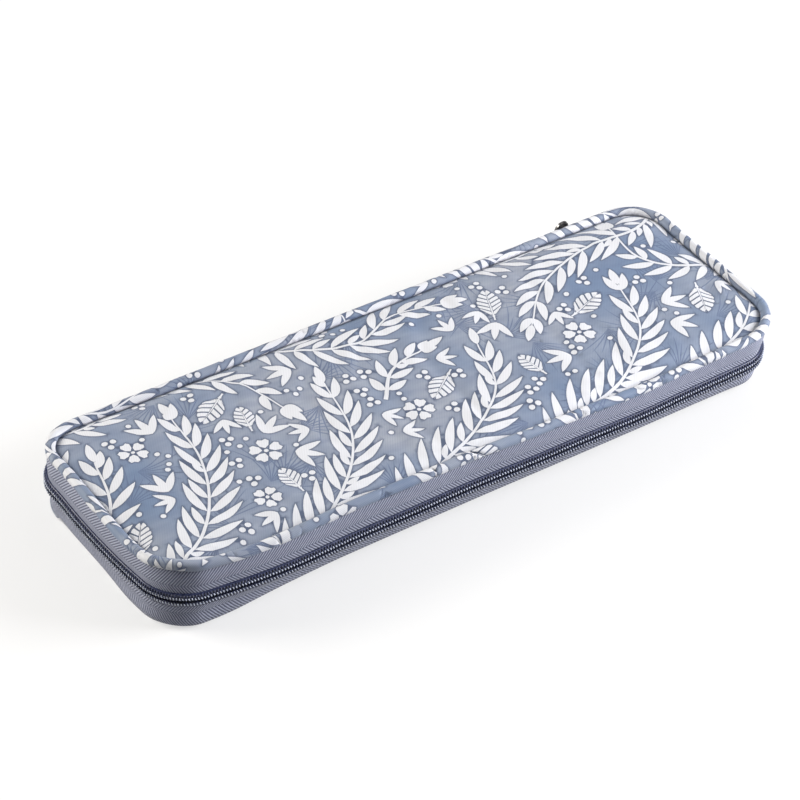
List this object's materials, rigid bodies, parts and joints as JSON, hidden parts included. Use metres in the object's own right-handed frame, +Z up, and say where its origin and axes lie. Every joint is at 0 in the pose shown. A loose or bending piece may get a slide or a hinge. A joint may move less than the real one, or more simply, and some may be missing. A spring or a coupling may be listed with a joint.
{
  "type": "knitting needle case",
  "caption": "Long zip-round padded case for straight knitting needles, with piped edges, a fabric spine hinge, needle channels, elastic loops and a lid pocket.",
  "frame": {"origin": "middle of the case on the plane of its flat underside", "axes": "+X along the long side, with the parked slider at the +X end of the back edge; +Y towards the spine; +Z up"},
  "size_m": [0.39, 0.1437, 0.0448],
  "materials": {
    "printed_cloth": "fine ribbed polyester cloth, printed with pale fronds on mottled slate blue, satin",
    "zip_tape": "slate blue herringbone tape",
    "zip_coil": "dark navy nylon coil with pale stitches",
    "lining": "plain woven lining, matt",
    "binding": "ribbed binding tape",
    "elastic": "ribbed elastic",
    "padding": "polyester foam",
    "board": "stiffening board",
    "piping_cord": "twisted cord",
    "gunmetal": "dark plated zinc, rubbed at the edges"
  },
  "bodies": {
    "base": {"base_cover": "printed_cloth", "base_padding": "padding", "base_board": "board", "base_lining": "lining", "base_piping": "printed_cloth", "base_piping_cord": "piping_cord", "base_binding": "binding", "lower_zip_tape": "zip_tape", "lower_zip_coil": "zip_coil", "needle_sleeve": "lining", "sleeve_seams": "lining", "sleeve_end_seam": "lining", "sleeve_binding": "printed_cloth", "needle_elastic": "elastic", "elastic_tacks": "elastic"},
    "spine": {"spine_cover": "printed_cloth", "spine_stiffener": "board", "spine_lining": "lining", "tail_tape_lower": "zip_tape", "tail_tape_upper": "zip_tape", "tail_coil_lower": "zip_coil", "tail_coil_upper": "zip_coil", "zip_top_stops": "gunmetal", "zip_bottom_stop": "gunmetal"},
    "lid": {"lid_cover": "printed_cloth", "lid_padding": "padding", "lid_board": "board", "lid_lining": "lining", "lid_piping": "printed_cloth", "lid_piping_cord": "piping_cord", "lid_binding": "binding", "upper_zip_tape": "zip_tape", "upper_zip_coil": "zip_coil", "lid_pocket": "lining", "pocket_side_seams": "lining", "pocket_end_seam": "lining", "pocket_elastic": "elastic"},
    "slider": {"slider": "gunmetal", "pull_ring": "gunmetal"},
    "pull": {"pull_tab": "gunmetal"}
  },
  "joints": [
    {"name": "spine_hinge", "type": "hinge", "parent": "base", "child": "spine", "pos_m": [0, 0.06425, 0.003], "axis": [-1, 0, 0], "range_deg": [0, 90]},
    {"name": "lid_hinge", "type": "hinge", "parent": "spine", "child": "lid", "pos_m": [0, 0.06425, 0.0401], "axis": [-1, 0, 0], "range_deg": [0, 90]},
    {"name": "slider_travel", "type": "slide", "parent": "spine", "child": "slider", "axis": [1, 0, 0], "range_m": [0, 0.02]},
    {"name": "pull_swing", "type": "hinge", "parent": "slider", "child": "pull", "pos_m": [0.14, 0.0728, 0.02155], "axis": [-1, 0, 0], "range_deg": [0, 150]}
  ],
  "couplings": [
    {"joint": "lid_hinge", "follows": "spine_hinge", "ratio": 1}
  ]
}
